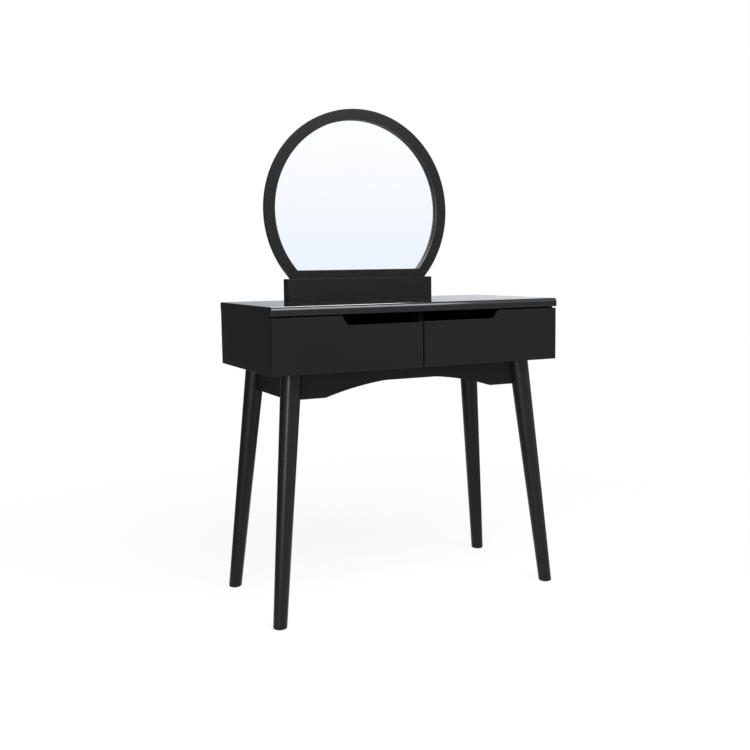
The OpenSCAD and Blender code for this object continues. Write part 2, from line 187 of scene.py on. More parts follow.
@dataclass(frozen=True)
class SprayedLacquer(Finish):
    """Pigmented polyurethane lacquer sprayed on board or turned wood."""

    colour: str
    worn_colour: str
    roughness: float
    specular: float
    peel_mm: float
    peel_depth_mm: float
    grain_mm: float = 0.0
    cloud_mm: float = 140.0

    def surface(self, tree: bpy.types.NodeTree) -> bpy.types.Node:
        """Build sprayed lacquer: a fine ripple, faint clouds of gloss and a soft sheen.

        Args:
            tree: Material's node tree.

        Returns:
            The principled shader.
        """
        where = add_node(tree, "ShaderNodeTexCoord").outputs["Object"]
        ripple = add_node(
            tree,
            "ShaderNodeTexNoise",
            {"Vector": where, "Scale": scale_for(self.peel_mm), "Detail": 2.0},
        )
        cloud = add_node(
            tree,
            "ShaderNodeTexNoise",
            {"Vector": where, "Scale": scale_for(self.cloud_mm), "Detail": 3.0},
        )
        tone = add_node(
            tree,
            "ShaderNodeMix",
            {0: cloud, 6: linear(self.colour), 7: linear(self.worn_colour)},
            data_type="RGBA",
        ).outputs[2]
        gloss = add_node(
            tree,
            "ShaderNodeMapRange",
            {
                "Value": cloud,
                "From Min": 0.3,
                "From Max": 0.7,
                "To Min": self.roughness * 0.93,
                "To Max": self.roughness * 1.07,
            },
        )
        normal = add_node(
            tree,
            "ShaderNodeBump",
            {"Strength": 0.5, "Distance": self.peel_depth_mm * MM, "Height": ripple},
        )
        if self.grain_mm:
            fibres = add_node(
                tree,
                "ShaderNodeMapping",
                {"Vector": where, "Scale": (1.0, 1.0, 0.03)},
            )
            grain = add_node(
                tree,
                "ShaderNodeTexNoise",
                {"Vector": fibres, "Scale": scale_for(self.grain_mm), "Detail": 4.0},
            )
            normal = add_node(
                tree,
                "ShaderNodeBump",
                {
                    "Strength": 0.35,
                    "Distance": 0.05 * MM,
                    "Height": grain,
                    "Normal": normal,
                },
            )
        return add_node(
            tree,
            "ShaderNodeBsdfPrincipled",
            {
                "Base Color": tone,
                "Roughness": gloss,
                "Specular IOR Level": self.specular,
                "Normal": normal,
            },
        )


@dataclass(frozen=True)
class GrainedWood(Finish):
    """Sawn or turned hardwood, and printed wood grain on a melamine face."""

    dark: str
    light: str
    roughness: float
    specular: float
    stretch: tuple[float, float, float]
    grain_mm: float
    pore_depth_mm: float = 0.06

    def surface(self, tree: bpy.types.NodeTree) -> bpy.types.Node:
        """Build grain: broad growth bands, fine dark pores and a pore-deep relief.

        Args:
            tree: Material's node tree.

        Returns:
            The principled shader.
        """
        where = add_node(tree, "ShaderNodeTexCoord").outputs["Object"]
        along = add_node(tree, "ShaderNodeMapping", {"Vector": where, "Scale": self.stretch})
        bands = add_node(
            tree,
            "ShaderNodeTexNoise",
            {
                "Vector": along,
                "Scale": scale_for(self.grain_mm * 6.0),
                "Detail": 3.0,
                "Distortion": 0.8,
            },
        )
        pores = add_node(
            tree,
            "ShaderNodeTexNoise",
            {"Vector": along, "Scale": scale_for(self.grain_mm), "Detail": 5.0},
        )
        figure = add_node(
            tree,
            "ShaderNodeMix",
            {0: 0.45, 2: bands, 3: pores},
            data_type="FLOAT",
        )
        spread = add_node(
            tree,
            "ShaderNodeMapRange",
            {"Value": figure, "From Min": 0.35, "From Max": 0.65},
        )
        tone = add_node(
            tree,
            "ShaderNodeMix",
            {0: spread, 6: linear(self.dark), 7: linear(self.light)},
            data_type="RGBA",
        ).outputs[2]
        normal = add_node(
            tree,
            "ShaderNodeBump",
            {"Strength": 0.6, "Distance": self.pore_depth_mm * MM, "Height": pores},
        )
        return add_node(
            tree,
            "ShaderNodeBsdfPrincipled",
            {
                "Base Color": tone,
                "Roughness": self.roughness,
                "Specular IOR Level": self.specular,
                "Normal": normal,
            },
        )


@dataclass(frozen=True)
class PlatedSteel(Finish):
    """Zinc plate on drawn or cold-headed steel."""

    bright: str
    dull: str
    roughness: float
    spangle_mm: float

    def surface(self, tree: bpy.types.NodeTree) -> bpy.types.Node:
        """Build plate: metal with soft patches of tone and fine drawing marks.

        Args:
            tree: Material's node tree.

        Returns:
            The principled shader.
        """
        where = add_node(tree, "ShaderNodeTexCoord").outputs["Object"]
        patches = add_node(
            tree,
            "ShaderNodeTexNoise",
            {"Vector": where, "Scale": scale_for(self.spangle_mm), "Detail": 3.0},
        )
        tone = add_node(
            tree,
            "ShaderNodeMix",
            {0: patches, 6: linear(self.bright), 7: linear(self.dull)},
            data_type="RGBA",
        ).outputs[2]
        rough = add_node(
            tree,
            "ShaderNodeMapRange",
            {
                "Value": patches,
                "To Min": self.roughness * 0.8,
                "To Max": self.roughness * 1.2,
            },
        )
        normal = add_node(
            tree,
            "ShaderNodeBump",
            {"Strength": 0.3, "Distance": 0.03 * MM, "Height": patches},
        )
        return add_node(
            tree,
            "ShaderNodeBsdfPrincipled",
            {"Base Color": tone, "Metallic": 1.0, "Roughness": rough, "Normal": normal},
        )


@dataclass(frozen=True)
class MottledSolid(Finish):
    """Moulded plastic, powder coat or pressed fibre: one stuff with a texture of its own."""

    colour: str
    second: str
    roughness: float
    specular: float
    texture_mm: float
    relief_mm: float

    def surface(self, tree: bpy.types.NodeTree) -> bpy.types.Node:
        """Build the texture: two tones of the same stuff, with relief of the same size.

        Args:
            tree: Material's node tree.

        Returns:
            The principled shader.
        """
        where = add_node(tree, "ShaderNodeTexCoord").outputs["Object"]
        speckle = add_node(
            tree,
            "ShaderNodeTexNoise",
            {"Vector": where, "Scale": scale_for(self.texture_mm), "Detail": 5.0},
        )
        tone = add_node(
            tree,
            "ShaderNodeMix",
            {0: speckle, 6: linear(self.colour), 7: linear(self.second)},
            data_type="RGBA",
        ).outputs[2]
        normal = add_node(
            tree,
            "ShaderNodeBump",
            {"Strength": 0.6, "Distance": self.relief_mm * MM, "Height": speckle},
        )
        return add_node(
            tree,
            "ShaderNodeBsdfPrincipled",
            {
                "Base Color": tone,
                "Roughness": self.roughness,
                "Specular IOR Level": self.specular,
                "Normal": normal,
            },
        )


@dataclass(frozen=True)
class SilveredGlass(Finish):
    """Float glass silvered on its back."""

    silver: str
    body: str
    roughness: float
    wave_mm: float

    def surface(self, tree: bpy.types.NodeTree) -> bpy.types.Node:
        """Build the mirror: a clean reflection with the long, faint wave of float glass.

        Args:
            tree: Material's node tree.

        Returns:
            The principled shader.
        """
        where = add_node(tree, "ShaderNodeTexCoord").outputs["Object"]
        wave = add_node(
            tree,
            "ShaderNodeTexNoise",
            {"Vector": where, "Scale": scale_for(self.wave_mm), "Detail": 0.0},
        )
        tone = add_node(
            tree,
            "ShaderNodeMix",
            {0: wave, 6: linear(self.silver), 7: linear(self.body)},
            data_type="RGBA",
        ).outputs[2]
        normal = add_node(
            tree,
            "ShaderNodeBump",
            {"Strength": 0.1, "Distance": 0.01 * MM, "Height": wave},
        )
        return add_node(
            tree,
            "ShaderNodeBsdfPrincipled",
            {
                "Base Color": tone,
                "Metallic": 1.0,
                "Roughness": self.roughness,
                "Normal": normal,
            },
        )


# Two-pack polyurethane, sprayed and polished on the top: a near-black mirror at a low angle.
TOP_GLOSS = SprayedLacquer(
    "top_gloss_polyurethane", "#0e0e0f", "#131314", 0.08, 0.22, 3.0, 0.005
)
# Painted highlight: the same lacquer over the nose, a touch lighter and more reflective, so the
# lamps show on it as one bright line.
NOSE_HIGHLIGHT_GLOSS = SprayedLacquer(
    "nose_highlight_polyurethane", "#141415", "#18181a", 0.12, 0.5, 3.0, 0.004
)
# Satin polyurethane on board: even charcoal black, the light spread into a soft sheen.
CASE_SATIN = SprayedLacquer(
    "case_satin_polyurethane", "#0d0d0d", "#111111", 0.42, 0.115, 1.6, 0.02
)
# The same satin lacquer on the routed mirror frame and its base.
FRAME_SATIN = SprayedLacquer(
    "frame_satin_polyurethane", "#101010", "#141414", 0.38, 0.14, 1.6, 0.02
)
# Satin lacquer on turned wood: the grain just telegraphs through as long fine ridges.
LEG_SATIN = SprayedLacquer(
    "turned_leg_satin_lacquer", "#0f0f0f", "#131313", 0.3, 0.16, 1.6, 0.02, 1.2
)
# Melamine paper on particleboard: dark printed grain along the board, dry matt face.
DARK_MELAMINE = GrainedWood(
    "dark_melamine_board", "#0f0e0e", "#1b1918", 0.55, 0.14, (0.06, 1.0, 1.0), 1.1, 0.04
)
# Melamine on boards whose long side runs front to back.
DARK_MELAMINE_DEEP = GrainedWood(
    "dark_melamine_board_deep", "#0d0c0c", "#191716", 0.55, 0.1, (1.0, 0.06, 1.0), 1.1, 0.04
)
# Painted shade: a near-black, dull finish on the divider and inside the mirror's slot, where both
# lie in shadow.
PAINTED_SHADE_BLACK = MottledSolid("painted_shade_black", "#040404", "#080808", 0.7, 0.03, 1.5, 0.02)
# Planed beech: warm pale wood with short fine fibres, unfinished.
PLANED_BEECH = GrainedWood(
    "planed_beech", "#9a6d45", "#c79a6c", 0.62, 0.35, (1.0, 1.0, 0.08), 0.9
)
# Bright zinc plate on steel: cool grey metal, softly patchy.
ZINC_PLATE = PlatedSteel("bright_zinc_plate", "#b9bcc0", "#8f9398", 0.34, 2.5)
# Polyester powder coat on rolled steel: black with a fine pebble.
POWDER_COAT = MottledSolid(
    "black_powder_coat", "#131313", "#1b1b1b", 0.5, 0.35, 0.9, 0.03
)
# Moulded black nylon of the foot glides: dry and slightly scuffed.
BLACK_NYLON = MottledSolid("black_moulded_nylon", "#141414", "#1f1f1f", 0.55, 0.35, 1.8, 0.02)
# Natural acetal of the runner wheels: milky, slightly waxy.
WHITE_ACETAL = MottledSolid("natural_acetal", "#d9d6cc", "#cdc9bd", 0.42, 0.45, 2.2, 0.01)
# Pressed wood fibre behind the mirror: brown, woolly, with fibre flecks.
HARDBOARD = MottledSolid("pressed_hardboard", "#4a3829", "#87694e", 0.8, 0.2, 3.5, 0.12)
# Silvered float glass: clean and bright, a breath cool.
MIRROR_SILVER = SilveredGlass("silvered_float_glass", "#fefeff", "#fcfdfe", 0.0, 180.0)


# --------------------------------------------------------------------------- mesh helpers


def arc(
    centre: tuple[float, float], radius: float, start: float, end: float, steps: int
) -> list[tuple[float, float]]:
    """Points along an arc.

    Args:
        centre: Centre of the arc.
        radius: Its radius.
        start: First angle in degrees.
        end: Last angle in degrees.
        steps: Number of chords.

    Returns:
        The points, both ends included.
    """
    points = []
    for i in range(steps + 1):
        angle = math.radians(start + (end - start) * i / steps)
        points.append(
            (centre[0] + radius * math.cos(angle), centre[1] + radius * math.sin(angle))
        )
    return points


def rounded_outline(
    corners: Sequence[tuple[float, float, float]], steps: int = 5
) -> list[tuple[float, float]]:
    """Round the corners of a polygon.

    Args:
        corners: Two coordinates and a corner radius for each corner.
        steps: Number of chords round a corner.

    Returns:
        The closed outline's points.
    """
    points: list[tuple[float, float]] = []
    count = len(corners)
    for i, (u, v, radius) in enumerate(corners):
        here = Vector((u, v))
        back = (Vector(corners[i - 1][:2]) - here).normalized()
        ahead = (Vector(corners[(i + 1) % count][:2]) - here).normalized()
        half = back.angle(ahead) / 2.0
        if radius <= 0.0 or half > math.radians(88.0):
            points.append((u, v))
            continue
        reach = radius / math.tan(half)
        middle = here + (back + ahead).normalized() * (radius / math.sin(half))
        first = here + back * reach - middle
        turn = first.angle_signed(here + ahead * reach - middle)
        for k in range(steps + 1):
            spoke = first.copy()
            spoke.rotate(Matrix.Rotation(-turn * k / steps, 2))
            points.append(tuple(middle + spoke))
    return points


def anticlockwise(outline: Sequence[tuple[float, float]]) -> list[Vector]:
    """Order an outline so that its inside lies to the left of each side.

    Args:
        outline: Closed outline.

    Returns:
        The same points, reversed where needed.
    """
    count = len(outline)
    area = sum(
        outline[i][0] * outline[(i + 1) % count][1]
        - outline[(i + 1) % count][0] * outline[i][1]
        for i in range(count)
    )
    points = [Vector(p) for p in outline]
    return points if area > 0 else points[::-1]


def inset(outline: Sequence[Vector], distance: float) -> list[Vector]:
    """Move each side of an anticlockwise outline inward.

    Args:
        outline: Closed outline.
        distance: How far in.

    Returns:
        The moved outline, point for point.
    """
    count = len(outline)
    moved = []
    for i, here in enumerate(outline):
        before = (here - outline[i - 1]).normalized()
        after = (outline[(i + 1) % count] - here).normalized()
        across = Vector((-before.y - after.y, before.x + after.x))
        moved.append(here + across * (2.0 * distance / max(across.length_squared, 0.4)))
    return moved


def bridge(bm: bmesh.types.BMesh, rings: Sequence[Ring], capped: bool, closed: bool) -> None:
    """Skin a row of rings that have the same number of points.

    Args:
        bm: Mesh that gets the faces.
        rings: Rings in order.
        capped: Whether the first and last ring are filled.
        closed: Whether the last ring joins the first.
    """
    rows = [[bm.verts.new(p) for p in ring] for ring in rings]
    count = len(rows[0])
    pairs = list(zip(rows, rows[1:]))
    if closed:
        pairs.append((rows[-1], rows[0]))
    for low, high in pairs:
        for i in range(count):
            j = (i + 1) % count
            bm.faces.new((low[i], low[j], high[j], high[i]))
    if capped:
        bm.faces.new(rows[0][::-1])
        bm.faces.new(rows[-1])


def eased_plate(
    bm: bmesh.types.BMesh,
    outline: Sequence[tuple[float, float]],
    axis: Axis,
    low: float,
    high: float,
    ease: float,
    steps: int = 3,
) -> None:
    """Add a board of any outline whose edges are eased all the way round.

    Args:
        bm: Mesh that gets the board.
        outline: Closed outline in the board's plane.
        axis: Direction of the thickness.
        low: Where the thickness starts.
        high: Where the thickness ends.
        ease: Radius of the eased edge.
        steps: Number of facets round the edge.
    """
    points = anticlockwise(outline)
    rings: list[Ring] = []
    for k in range(steps + 1):
        angle = math.pi / 2 * k / steps
        flat = inset(points, ease * (1.0 - math.sin(angle)))
        depth = low + ease * (1.0 - math.cos(angle))
        rings.append([axis.place(p.x, p.y, depth) for p in flat])
    for k in range(steps, -1, -1):
        angle = math.pi / 2 * k / steps
        flat = inset(points, ease * (1.0 - math.sin(angle)))
        depth = high - ease * (1.0 - math.cos(angle))
        rings.append([axis.place(p.x, p.y, depth) for p in flat])
    bridge(bm, rings, capped=True, closed=False)


def lathe(
    bm: bmesh.types.BMesh,
    profile: Sequence[tuple[float, float]],
    origin: Vector,
    direction: Vector,
    steps: int = 40,
    bored: bool = False,
) -> None:
    """Turn a profile round an axis.

    Args:
        bm: Mesh that gets the turned piece.
        profile: Distance along the axis and radius, in order.
        origin: Point where the distance along the axis is zero.
        direction: Direction of the axis.
        steps: Number of facets round the piece.
        bored: Whether the profile closes on itself round a bore.
    """
    axis = direction.normalized()
    side = axis.orthogonal().normalized()
    other = axis.cross(side)
    rings = []
    for along, radius in profile:
        ring = []
        for i in range(steps):
            angle = 2.0 * math.pi * i / steps
            spoke = side * math.cos(angle) + other * math.sin(angle)
            ring.append(origin + axis * along + spoke * radius)
        rings.append(ring)
    bridge(bm, rings, capped=not bored, closed=bored)


def finished_piece(
    name: str,
    bm: bmesh.types.BMesh,
    finish: Finish,
    body: str,
    replaced: Sequence[str],
    crease: float = 35.0,
) -> bpy.types.Object:
    """Turn a mesh into a smooth-shaded, finished piece that rides on its body.

    Args:
        name: Piece name.
        bm: The mesh, which is freed.
        finish: Surface finish.
        body: CAD body that the piece moves with.
        replaced: CAD nodes that the piece stands for.
        crease: Angle in degrees above which an edge stays crisp.

    Returns:
        The new object.
    """
    bmesh.ops.recalc_face_normals(bm, faces=bm.faces[:])
    mesh = bpy.data.meshes.new(name)
    bm.to_mesh(mesh)
    bm.free()
    mesh.shade_smooth()
    mesh.set_sharp_from_angle(angle=math.radians(crease))
    piece = bpy.data.objects.new(name, mesh)
    bpy.context.scene.collection.objects.link(piece)
    mesh.materials.append(finish.material())
    flat = piece.modifiers.new("flat faces stay flat", "WEIGHTED_NORMAL")
    flat.keep_sharp = True
    flat.weight = 90
    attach(piece, body)
    if replaced:
        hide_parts(*replaced)
    return piece


def dress_node(
    node: str, finish: Finish, edge_mm: float = 0.0, crease: float = 30.0
) -> bpy.types.Object:
    """Give a carried-over CAD node its finish, smooth shading and eased edges.

    Args:
        node: CAD node name.
        finish: Surface finish.
        edge_mm: Width of the eased edges, or zero for none.
        crease: Angle in degrees above which an edge stays crisp.

    Returns:
        The node's object.
    """
    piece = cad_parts[node]
    mesh = piece.data
    mesh.materials.clear()
    mesh.materials.append(finish.material())
    mesh.shade_smooth()
    mesh.set_sharp_from_angle(angle=math.radians(crease))
    if edge_mm:
        ease = piece.modifiers.new("eased edges", "BEVEL")
        ease.width = edge_mm * MM
        ease.segments = 2
        ease.limit_method = "ANGLE"
        ease.angle_limit = math.radians(50.0)
        ease.harden_normals = True
    return piece


def islands(node: str) -> list[tuple[Vector, Vector]]:
    """Boxes of the separate solids in a CAD node.

    Args:
        node: CAD node name.

    Returns:
        Lowest and highest corner of each solid, from left to right.
    """
    bm = bmesh.new()
    bm.from_mesh(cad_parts[node].data)
    bmesh.ops.remove_doubles(bm, verts=bm.verts[:], dist=1e-6)
    left = set(bm.verts)
    found = []
    while left:
        stack = [left.pop()]
        low, high = stack[0].co.copy(), stack[0].co.copy()
        while stack:
            vert = stack.pop()
            low = Vector(map(min, low, vert.co))
            high = Vector(map(max, high, vert.co))
            for edge in vert.link_edges:
                other = edge.other_vert(vert)
                if other in left:
                    left.remove(other)
                    stack.append(other)
        found.append((low, high))
    bm.free()
    return sorted(found, key=lambda pair: (pair[0].x, pair[0].y, pair[0].z))


def cross_head(
    bm: bmesh.types.BMesh,
    top: Vector,
    facing: Vector,
    radius: float,
    height: float,
    length: float,
    shank: float,
) -> None:
    """Add a pan-head screw with a cross recess.

    Args:
        bm: Mesh that gets the screw.
        top: Middle of the head's top.
        facing: Direction that the head faces.
        radius: Head radius.
        height: Head height.
        length: Whole length of the screw.
        shank: Shank radius.
    """
    axis = facing.normalized()
    side = axis.orthogonal().normalized()
    other = axis.cross(side)
    steps = 32

    def ring(r: float, depth: float) -> Ring:
        """Points round the head at a radius and a depth below its top."""
        return [
            top
            - axis * depth
            + (side * math.cos(2 * math.pi * i / steps) + other * math.sin(2 * math.pi * i / steps))
            * r
            for i in range(steps)
        ]

    def cross(scale: float, depth: float) -> Ring:
        """Points of the cross recess, led round in step with the rings of the head."""
        arm, web = radius * 0.58 * scale, radius * 0.15 * scale
        points = []
        for i in range(steps):
            angle = 2 * math.pi * i / steps
            u, v = math.cos(angle), math.sin(angle)
            big, small = (u, v) if abs(u) >= abs(v) else (v, u)
            if abs(small) < abs(big) * web / arm:
                reach = arm / abs(big)
            elif abs(abs(big) - abs(small)) < 1e-6:
                reach = web / abs(big)
            else:
                reach = web / max(abs(small), 1e-6)
            points.append(top - axis * depth + (side * u + other * v) * min(reach, arm * 1.02))
        return points

    rings = [
        cross(0.55, height * 0.75),
        cross(1.0, height * 0.02),
        ring(radius * 0.72, 0.0),
        ring(radius * 0.93, height * 0.22),
        ring(radius, height * 0.6),
        ring(radius, height),
        ring(shank, height),
        ring(shank, length - shank),
        ring(shank * 0.3, length),
    ]
    bridge(bm, rings, capped=True, closed=False)


# --------------------------------------------------------------------------- sub-assemblies


@dataclass
class BoardCase:
    """The drawer case: a nosed top, side panels, floor, back and the divider."""

    nose_radius: float = 10 * MM
    edge: float = 1.0 * MM
    pieces: list[bpy.types.Object] = field(default_factory=list)

    def board(self, node: str, axis: Axis, finish: Finish, slot: str) -> None:
        """Rebuild one flat board of the case with eased edges.

        Args:
            node: CAD node that the board stands for.
            axis: Direction of its thickness.
            finish: Surface finish.
            slot: Not used.
        """
        low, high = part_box(node)
        u, v = [i for i in range(3) if i != axis.value]
        corner = self.edge
        outline = rounded_outline(
            [
                (low[u], low[v], corner),
                (high[u], low[v], corner),
                (high[u], high[v], corner),
                (low[u], high[v], corner),
            ],
            3,
        )
        bm = bmesh.new()
        eased_plate(bm, outline, axis, low[axis.value], high[axis.value], self.edge)
        self.pieces.append(
            finished_piece(f"{node}_board", bm, finish, "table", [node])
        )

    def top(self) -> None:
        """Build the table top: a round nose in front with a painted highlight, and ends as satin as
        the sides.
        """
        low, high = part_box("table_top")
        outline = rounded_outline(
            [
                (low.y, low.z, 1.2 * MM),
                (high.y, low.z, 1.2 * MM),
                (high.y, high.z, 1.5 * MM),
                (low.y, high.z, self.nose_radius),
            ],
            10,
        )
        bm = bmesh.new()
        eased_plate(bm, outline, Axis.X, low.x, high.x, self.edge)
        slab = finished_piece(
            "table_top_slab", bm, TOP_GLOSS, "table", ["table_top"], 50.0
        )
        slab.data.materials.append(CASE_SATIN.material())
        slab.data.materials.append(NOSE_HIGHLIGHT_GLOSS.material())
        # Ends get the satin lacquer; the nose gets the lighter, more reflective copy of the top's
        # lacquer, a painted highlight.
        for face in slab.data.polygons:
            if abs(face.normal.x) > 0.9:
                face.material_index = 1
            elif face.normal.y < -0.15 and face.normal.z > 0.1:
                face.material_index = 2
        self.pieces.append(slab)

    def build(self) -> None:
        """Build the case and dress the boards that stay as CAD made them."""
        self.top()
        for node in ("left_side_panel", "right_side_panel"):
            self.board(node, Axis.X, CASE_SATIN, "case_lacquer")
        self.board("back_panel", Axis.Y, CASE_SATIN, "case_lacquer")
        self.pieces.append(dress_node("bottom_panel", CASE_SATIN, 0.6))
        # The divider gets painted shade: the near-black dull finish, where it lies in shadow behind
        # the drawer fronts.
        self.pieces.append(dress_node("centre_divider", PAINTED_SHADE_BLACK, 0.4))
        for node in ("cam_locks", "cam_bolts"):
            self.pieces.append(dress_node(node, ZINC_PLATE, 0.2))
        self.pieces.append(dress_node("case_dowels", PLANED_BEECH, 0.3))


@dataclass
class ApronFrame:
    """The aprons between the legs, the arch in the front one, and their corner blocks."""

    arch_half: float = 238 * MM
    arch_rise: float = 37 * MM
    edge: float = 1.2 * MM
    long_run_in: float = 2.2 * MM
    side_run_in: float = 3.3 * MM
    pieces: list[bpy.types.Object] = field(default_factory=list)

    def arch(self, low_z: float) -> list[tuple[float, float]]:
        """Points of the shallow arch in the front apron's lower edge.

        Args:
            low_z: Height of the lower edge.

        Returns:
            Points from right to left.
        """
        radius = (self.arch_half**2 + self.arch_rise**2) / (2.0 * self.arch_rise)
        centre = (0.0, low_z + self.arch_rise - radius)
        reach = math.degrees(math.asin(self.arch_half / radius))
        return arc(centre, radius, 90.0 - reach, 90.0 + reach, 64)

    def long_apron(self, node: str, arched: bool) -> None:
        """Build the front or the back apron, its ends run into the round legs.

        Args:
            node: CAD node that the board stands for.
            arched: Whether its lower edge is the arch.
        """
        low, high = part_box(node)
        reach = high.x + self.long_run_in
        outline = [(-reach, high.z), (-reach, low.z)]
        if arched:
            outline += self.arch(low.z)[::-1]
        outline += [(reach, low.z), (reach, high.z)]
        bm = bmesh.new()
        eased_plate(bm, outline, Axis.Y, low.y, high.y, self.edge)
        self.pieces.append(
            finished_piece(f"{node}_board", bm, CASE_SATIN, "table", [node])
        )

    def side_apron(self, node: str) -> None:
        """Build a side apron.

        Args:
            node: CAD node that the board stands for.
        """
        low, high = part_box(node)
        front, rear = low.y - self.side_run_in, high.y + self.side_run_in
        outline = [(front, low.z), (rear, low.z), (rear, high.z), (front, high.z)]
        bm = bmesh.new()
        eased_plate(bm, outline, Axis.X, low.x, high.x, self.edge)
        self.pieces.append(
            finished_piece(f"{node}_board", bm, CASE_SATIN, "table", [node])
        )

    def build(self) -> None:
        """Build the four aprons and dress the blocks and fixings inside them."""
        self.long_apron("front_apron", True)
        self.long_apron("back_apron", False)
        self.side_apron("left_apron")
        self.side_apron("right_apron")
        self.pieces.append(dress_node("corner_blocks", PLANED_BEECH, 0.8))
        for node in ("hanger_bolts", "flange_nuts", "block_screws"):
            self.pieces.append(dress_node(node, ZINC_PLATE, 0.2))


@dataclass
class TurnedLegs:
    """Four round tapered legs that splay outward, each on a nylon glide."""

    foot_x: float = 388 * MM
    foot_y: float = 177.5 * MM
    head_x: float = 327 * MM
    head_y: float = 132 * MM
    centre_y: float = 5 * MM
    head_z: float = 615 * MM
    foot_radius: float = 17.2 * MM
    head_radius: float = 25.7 * MM
    foot_edge: float = 2.0 * MM
    facets: int = 72
    pieces: list[bpy.types.Object] = field(default_factory=list)

    def leg(self, node: str, way_x: int, way_y: int) -> None:
        """Loft one leg from its rounded foot to its head under the case.

        Args:
            node: CAD node that the leg stands for.
            way_x: Minus one for left, one for right.
            way_y: Minus one for front, one for back.
        """
        low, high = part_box(node)
        rings = []
        levels = [
            (low.z + self.foot_edge * (1 - math.sin(a)), self.foot_edge * (1 - math.cos(a)))
            for a in (math.pi / 2 * k / 4 for k in range(4, -1, -1))
        ]
        levels += [(low.z + (high.z - low.z) * k / 12, 0.0) for k in range(1, 13)]
        for z, cut in levels:
            share = z / self.head_z
            x = way_x * (self.foot_x + (self.head_x - self.foot_x) * share)
            y = self.centre_y + way_y * (self.foot_y + (self.head_y - self.foot_y) * share)
            radius = self.foot_radius + (self.head_radius - self.foot_radius) * share - cut
            rings.append(
                [
                    Vector(
                        (
                            x + radius * math.cos(2 * math.pi * i / self.facets),
                            y + radius * math.sin(2 * math.pi * i / self.facets),
                            z,
                        )
                    )
                    for i in range(self.facets)
                ]
            )
        bm = bmesh.new()
        bridge(bm, rings, capped=True, closed=False)
        self.pieces.append(
            finished_piece(
                f"{node}_turned", bm, LEG_SATIN, "table", [node], 60.0
            )
        )

    def glides(self) -> None:
        """Mould the four foot glides with a rounded rim and a sunk nail hole."""
        bm = bmesh.new()
        for low, high in islands("foot_glides"):
            radius = (high.x - low.x) / 2
            thick = high.z - low.z
            base = Vector(((low.x + high.x) / 2, (low.y + high.y) / 2, low.z))
            profile = [
                (0.5 * MM, 1.2 * MM),
                (0.05 * MM, 2.6 * MM),
                (0.0, radius - 1.2 * MM),
                (0.35 * MM, radius - 0.35 * MM),
                (1.0 * MM, radius),
                (thick, radius),
            ]
            lathe(bm, profile, base, Vector((0, 0, 1)), 48)
        self.pieces.append(
            finished_piece("moulded_glides", bm, BLACK_NYLON, "table", ["foot_glides"])
        )

    def build(self) -> None:
        """Build the legs and the glides."""
        for front, way_y in (("front", -1), ("back", 1)):
            for side in Side:
                self.leg(f"{front}_{side.word}_leg", side.value, way_y)
        self.glides()


